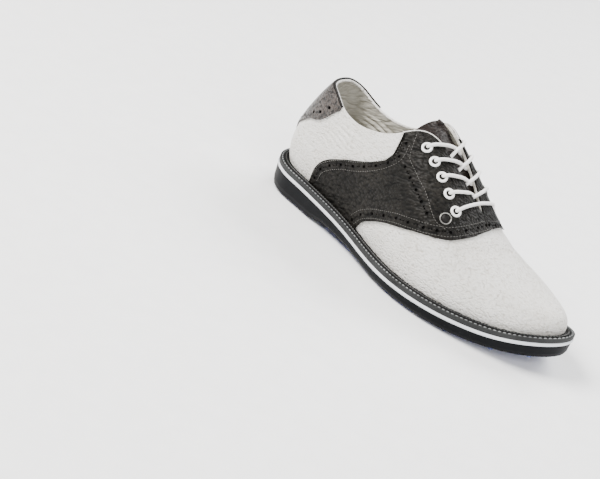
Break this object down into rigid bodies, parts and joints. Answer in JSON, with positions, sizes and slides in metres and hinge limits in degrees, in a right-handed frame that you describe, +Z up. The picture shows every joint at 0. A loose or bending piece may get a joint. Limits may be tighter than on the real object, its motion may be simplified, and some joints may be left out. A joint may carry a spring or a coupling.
{
  "type": "saddle shoe with a studded spikeless sole",
  "caption": "Low lace-up saddle shoe, right foot, with a hollow leather upper on a stitched welt over a studded rubber sole, standing empty on the floor.",
  "frame": {"origin": "centre of the footprint box, at the floor under the studs", "axes": "+X from heel to toe, +Y to the inner side of the foot, +Z up"},
  "size_m": [0.305, 0.1096, 0.1193],
  "materials": {
    "white_leather": "pebbled, soft satin",
    "dark_leather": "pebbled, satin with a grey sheen",
    "pewter_leather": "pebbled, pewter sheen",
    "piping_leather": "smooth, satin",
    "enamel": "gloss white enamel",
    "lace_cord": "round woven cord",
    "welt_rubber": "matt, stitched",
    "white_rubber": "satin",
    "black_rubber": "matt",
    "blue_rubber": "glossy, slightly translucent",
    "insole_foam": "matt"
  },
  "bodies": {
    "root": {"upper": "white_leather", "tongue": "dark_leather", "saddle": "dark_leather", "heel_patch": "pewter_leather", "back_strip": "pewter_leather", "collar_piping": "piping_leather", "insole": "insole_foam", "welt": "welt_rubber", "midsole": "white_rubber", "outsole": "black_rubber", "tread_heel": "blue_rubber", "tread_forefoot": "blue_rubber", "eyelet_lateral_1": "enamel", "eyelet_medial_1": "enamel", "lace_crossing_1": "lace_cord", "eyelet_lateral_2": "enamel", "eyelet_medial_2": "enamel", "lace_crossing_2": "lace_cord", "eyelet_lateral_3": "enamel", "eyelet_medial_3": "enamel", "lace_crossing_3": "lace_cord", "eyelet_lateral_4": "enamel", "eyelet_medial_4": "enamel", "lace_crossing_4": "lace_cord", "eyelet_lateral_5": "enamel", "eyelet_medial_5": "enamel", "lace_bar": "lace_cord"}
  },
  "joints": []
}
